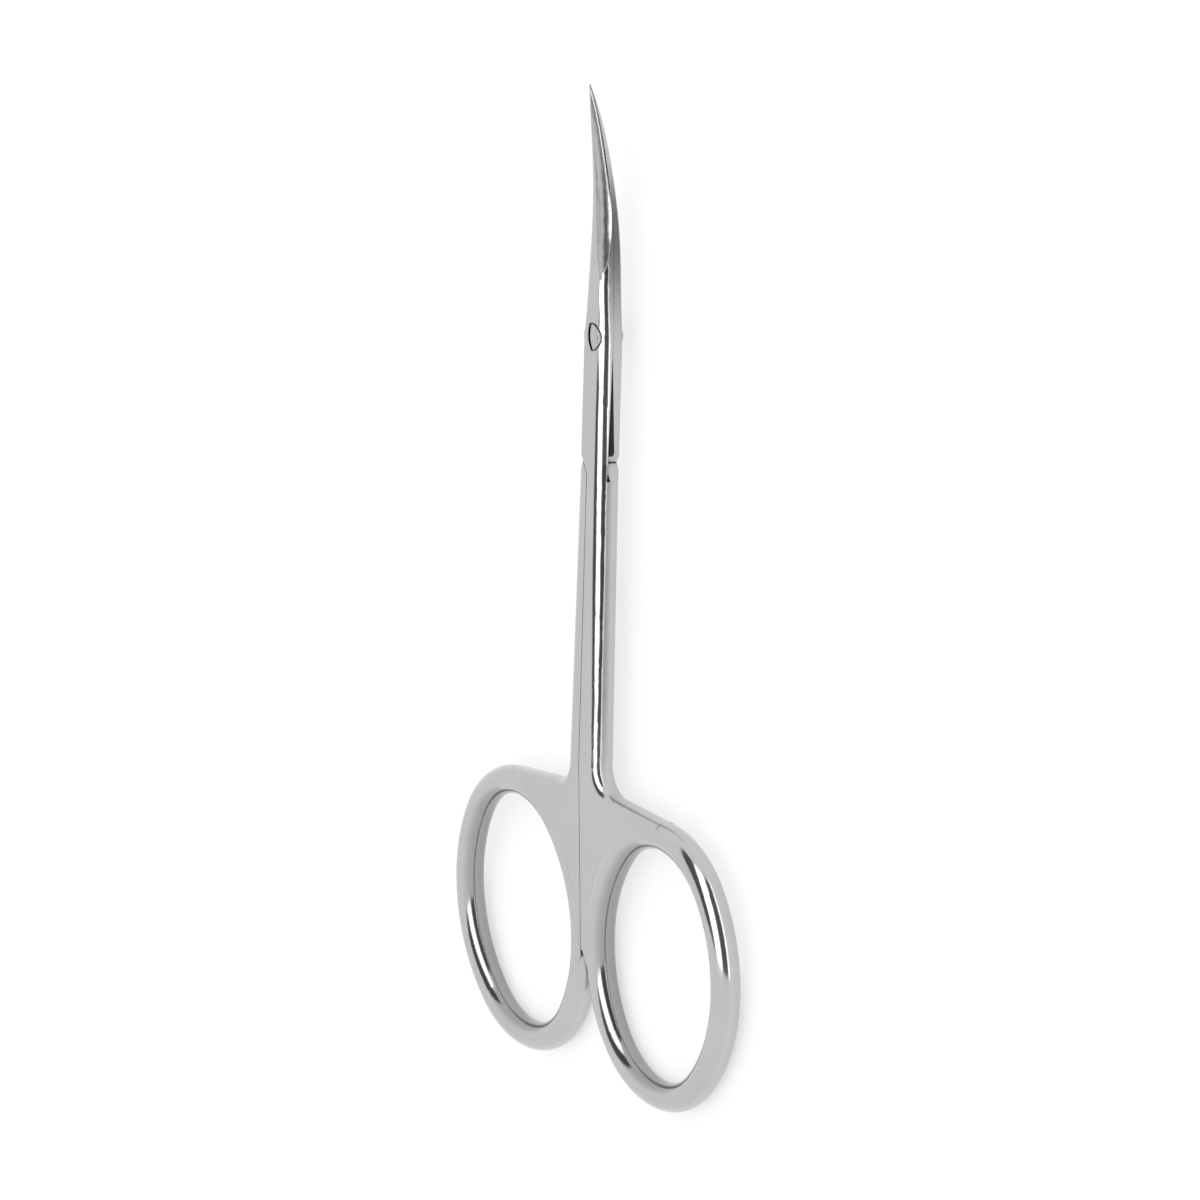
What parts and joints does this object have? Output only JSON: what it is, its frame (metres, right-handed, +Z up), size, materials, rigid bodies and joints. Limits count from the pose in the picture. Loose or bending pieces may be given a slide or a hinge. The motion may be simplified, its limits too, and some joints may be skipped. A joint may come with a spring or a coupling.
{
  "type": "cuticle scissors",
  "caption": "Slim steel cuticle scissors with fine curved hollow-ground blades, a lap joint with a slotted pivot screw, flat shanks and oval finger rings.",
  "frame": {"origin": "under the middle of the closed tool's length, on the surface that it lies on", "axes": "+Y along the closed tool to the blade tips, +X to the right finger ring, +Z up out of the front face, where the screw head shows"},
  "size_m": [0.0552, 0.1134, 0.006],
  "materials": {
    "forged_steel": "satin flats with polished round edges",
    "screw_steel": "polished"
  },
  "bodies": {
    "back_half": {"back_half": "forged_steel"},
    "front_half": {"front_half": "forged_steel"},
    "pivot_screw": {"pivot_screw": "screw_steel"}
  },
  "joints": [
    {"name": "blade_pivot", "type": "hinge", "parent": "back_half", "child": "front_half", "pos_m": [0, 0.02884, 0.0032], "axis": [0, 0, 1], "range_deg": [0, 45]},
    {"name": "tension_screw_turn", "type": "hinge", "parent": "back_half", "child": "pivot_screw", "pos_m": [0, 0.02884, 0.0032], "axis": [0, 0, 1], "range_deg": [-45, 45]}
  ]
}
